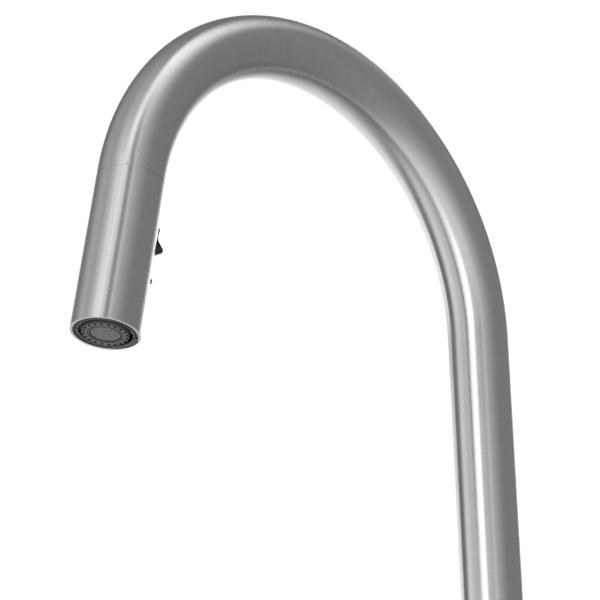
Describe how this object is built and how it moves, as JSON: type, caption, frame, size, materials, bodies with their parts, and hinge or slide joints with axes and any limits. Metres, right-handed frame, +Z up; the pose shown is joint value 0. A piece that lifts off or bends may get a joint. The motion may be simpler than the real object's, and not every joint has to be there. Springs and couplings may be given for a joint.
{
  "type": "pull down kitchen faucet",
  "caption": "Gooseneck kitchen faucet with a swivelling spout, a spray head that pulls down on its hose, and a side lever for flow and temperature.",
  "frame": {"origin": "centre of the base ring's underside, on the deck, on the swivel's axis", "axes": "+Z up along the swivel's axis, -Y towards the spout's outlet, +X towards the lever"},
  "size_m": [0.0871, 0.2729, 0.5263],
  "materials": {
    "brushed_stainless": "brushed",
    "plain_steel": "satin",
    "brass": "machined",
    "black_rubber": "matte",
    "grey_plastic": "matte moulded",
    "dark_plastic": "satin moulded",
    "white_plastic": "matte moulded",
    "ceramic": "lapped",
    "braided_nylon": "braided",
    "red_and_blue_plastic": "glossy"
  },
  "bodies": {
    "faucet": {"base_ring": "brushed_stainless", "base_gasket": "black_rubber", "mounting_shank": "brass", "deck_washer_rubber": "black_rubber", "deck_washer_steel": "plain_steel", "mounting_nut": "brass", "nut_clamp_screws": "plain_steel", "body_shell": "brushed_stainless", "manifold_lock_screw": "plain_steel", "valve_manifold": "brass", "thrust_washer": "white_plastic", "glide_ring_lower": "white_plastic", "glide_ring_upper": "white_plastic", "top_collar": "brushed_stainless", "spout_o_ring": "black_rubber", "cartridge_base": "grey_plastic", "cartridge_seals": "black_rubber", "fixed_ceramic_disc": "ceramic", "cartridge_housing": "grey_plastic", "cartridge_nut": "brass", "bonnet_dome": "brushed_stainless"},
    "spout": {"spout_tube": "brushed_stainless", "spout_clip": "white_plastic", "dock_collar": "grey_plastic", "dock_magnet": "plain_steel", "spray_hose": "braided_nylon", "hose_inlet_ferrule": "plain_steel", "hose_inlet_connector": "brass", "connector_o_ring": "black_rubber", "check_valve_seat": "white_plastic", "check_valve_spring": "plain_steel"},
    "check_valve": {"check_valve_poppet": "white_plastic"},
    "hose_end": {"hose_nipple": "brass", "hose_outlet_ferrule": "plain_steel"},
    "spray_head": {"head_shell": "brushed_stainless", "head_core": "grey_plastic", "face_ring": "grey_plastic", "head_top_cap": "grey_plastic", "head_magnet": "plain_steel", "coupling_nut": "brass", "spray_face": "grey_plastic", "nozzle_skin": "black_rubber", "aerator_housing": "grey_plastic", "aerator_mesh": "grey_plastic", "button_bezel": "dark_plastic", "toggle_pin": "plain_steel", "button_spring": "plain_steel"},
    "toggle": {"spray_toggle": "dark_plastic"},
    "button": {"pause_button": "dark_plastic"},
    "diverter": {"diverter_spool": "white_plastic", "spool_o_rings": "black_rubber"},
    "stem_carrier": {"stem_carrier": "grey_plastic", "stem_pivot_pin": "plain_steel"},
    "mixer": {"mixing_disc": "ceramic"},
    "handle": {"valve_stem": "plain_steel", "lever_cap": "brushed_stainless", "temperature_mark": "red_and_blue_plastic", "lever_grub_screw": "plain_steel", "lever_rod": "brushed_stainless"}
  },
  "joints": [
    {"name": "spout_swivel", "type": "hinge", "parent": "faucet", "child": "spout", "pos_m": [0, 0, 0.1], "axis": [0, 0, 1], "continuous": true},
    {"name": "handle_temperature", "type": "hinge", "parent": "faucet", "child": "stem_carrier", "pos_m": [0.034, 0, 0.068], "axis": [1, 0, 0], "range_deg": [-45, 45]},
    {"name": "handle_flow", "type": "hinge", "parent": "stem_carrier", "child": "handle", "pos_m": [0.034, 0, 0.068], "axis": [0, 1, 0], "range_deg": [0, 24]},
    {"name": "mixer_slide", "type": "slide", "parent": "stem_carrier", "child": "mixer", "axis": [0, 0, 1], "range_m": [0, 0.004]},
    {"name": "check_valve_slide", "type": "slide", "parent": "spout", "child": "check_valve", "axis": [0, 0, 1], "range_m": [0, 0.002], "stiffness_N_per_m": 150, "springref_m": -0.001, "deforming": ["check_valve_spring"]},
    {"name": "pull_out", "type": "slide", "parent": "spout", "child": "hose_end", "axis": [0, -0.1908, -0.9816], "range_m": [0, 0.4], "deforming": ["spray_hose"]},
    {"name": "head_swivel", "type": "hinge", "parent": "hose_end", "child": "spray_head", "pos_m": [0, -0.22618, 0.26878], "axis": [0, -0.1908, -0.9816], "continuous": true},
    {"name": "toggle_rock", "type": "hinge", "parent": "spray_head", "child": "toggle", "pos_m": [0, -0.21195, 0.28333], "axis": [1, 0, 0], "range_deg": [0, 8.1]},
    {"name": "diverter_slide", "type": "slide", "parent": "spray_head", "child": "diverter", "axis": [0, -0.1908, -0.9816], "range_m": [0, 0.00111]},
    {"name": "pause_press", "type": "slide", "parent": "spray_head", "child": "button", "axis": [0, -0.9816, 0.1908], "range_m": [0, 0.0009], "stiffness_N_per_m": 1200, "springref_m": -0.0008, "deforming": ["button_spring"]}
  ],
  "couplings": [
    {"joint": "mixer_slide", "follows": "handle_flow", "m_per_rad": 0.009431},
    {"joint": "toggle_rock", "follows": "diverter_slide", "rad_per_m": 125.41}
  ]
}
